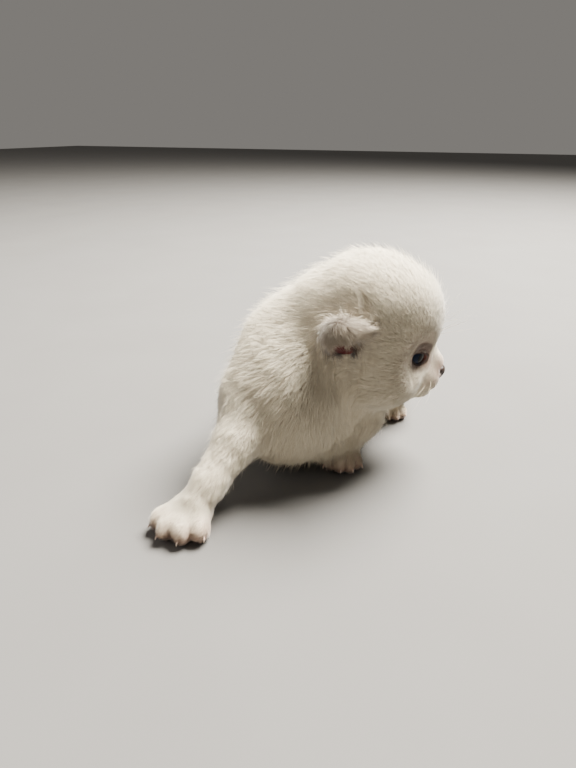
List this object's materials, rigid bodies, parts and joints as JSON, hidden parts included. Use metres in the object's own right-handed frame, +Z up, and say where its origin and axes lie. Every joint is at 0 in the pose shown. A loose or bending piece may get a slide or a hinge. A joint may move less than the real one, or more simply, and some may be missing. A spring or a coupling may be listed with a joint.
{
  "type": "scottish fold cat model",
  "caption": "Life-size still model of a young scottish fold kitten with folded ears, head turned to its left and one foreleg stretched forward.",
  "frame": {"origin": "middle of the bounding box at floor level, under the body", "axes": "+Z up, -Y the way the chest and the stretched foreleg point, +X to the animal's left"},
  "size_m": [0.0944, 0.2186, 0.0865],
  "materials": {
    "coat": "short dense plush fur, cream white",
    "ear_coat": "thin short fur over pinkish grey skin",
    "nose_skin": "fine pebbled moist skin, dark brown",
    "eye": "wet, dark navy"
  },
  "bodies": {
    "root": {"head": "coat", "nose": "nose_skin", "eye_left": "eye", "eye_right": "eye", "ear_left": "ear_coat", "ear_right": "ear_coat", "neck": "coat", "torso": "coat", "tail": "coat", "foreleg_right": "coat", "forepaw_right": "coat", "foreleg_left": "coat", "forepaw_left": "coat", "hindleg_right": "coat", "hindpaw_right": "coat", "hindleg_left": "coat", "hindpaw_left": "coat"}
  },
  "joints": []
}
